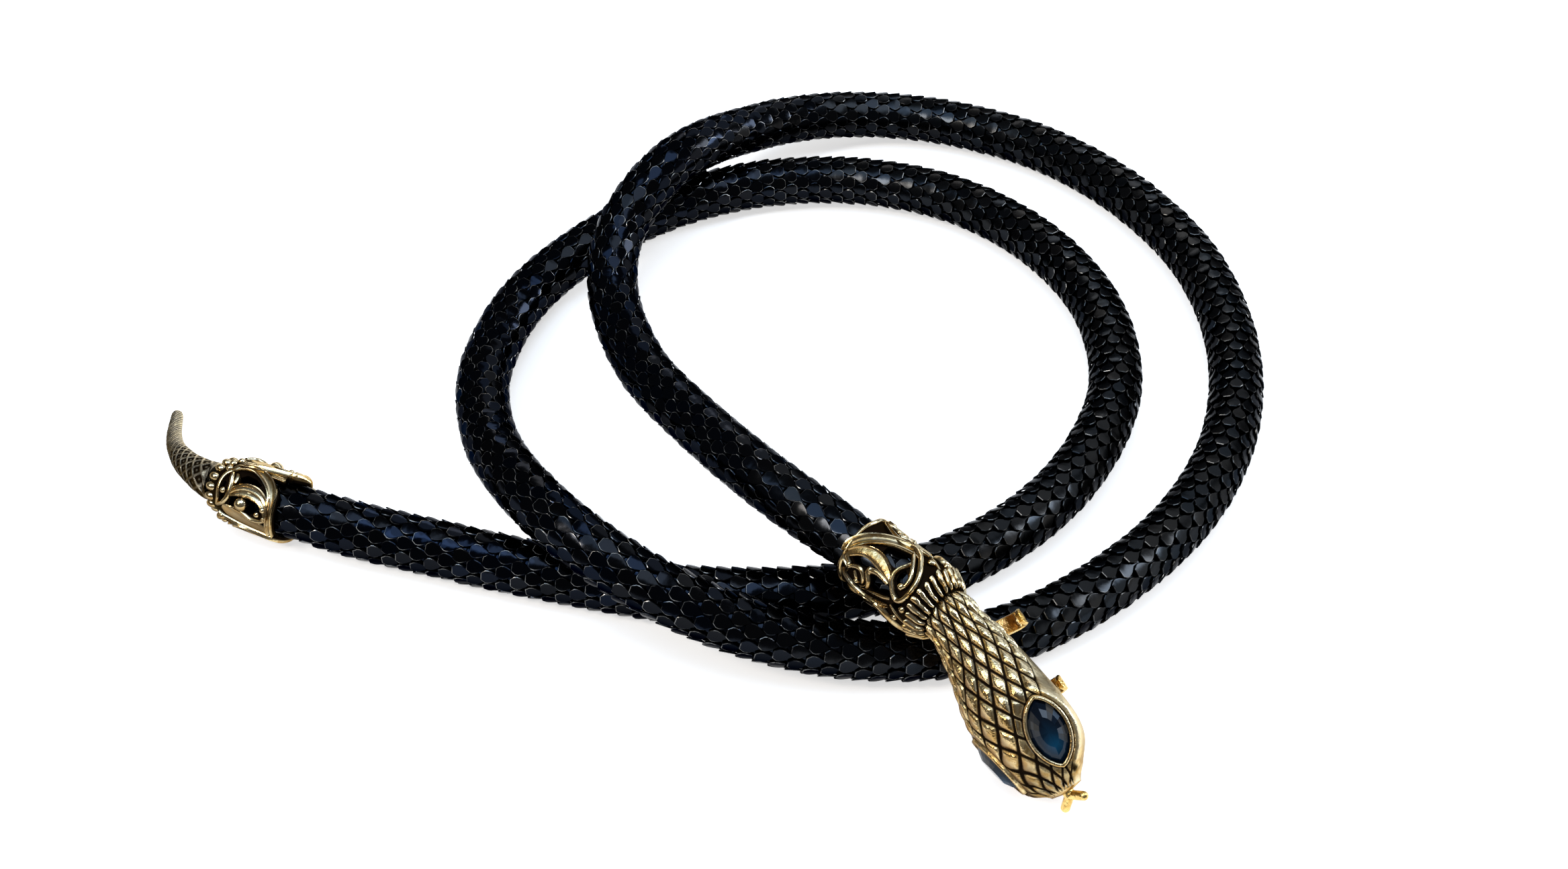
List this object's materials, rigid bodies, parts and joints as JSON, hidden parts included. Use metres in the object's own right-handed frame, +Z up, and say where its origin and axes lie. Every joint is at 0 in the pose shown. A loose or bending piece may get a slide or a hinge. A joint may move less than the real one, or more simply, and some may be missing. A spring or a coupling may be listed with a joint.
{
  "type": "snake necklace",
  "caption": "Flexible scale mesh tube necklace with a cast snake head on a pierced cuff, stone eyes, forked tongue, hooks under the head and a cast tail.",
  "frame": {"origin": "on the surface that the necklace lies on, under the middle of its bounding box", "axes": "+Z up, +X towards the right and +Y away from the viewer as the necklace is laid out, with the head near the middle of the front"},
  "size_m": [0.1939, 0.1703, 0.023],
  "materials": {
    "mesh": "gloss black enamel over scale mesh",
    "antique_gold": "antique gold plate with dark grooves",
    "bright_gold": "polished gold plate",
    "stone": "cut dark blue glass stone"
  },
  "bodies": {
    "root": {"mesh_body": "mesh", "neck_cuff": "antique_gold", "snake_head": "antique_gold", "eye_stone_left": "stone", "eye_stone_right": "stone", "tongue": "bright_gold", "head_hook": "bright_gold", "tail_cuff": "antique_gold", "tail_tip": "antique_gold"}
  },
  "joints": []
}
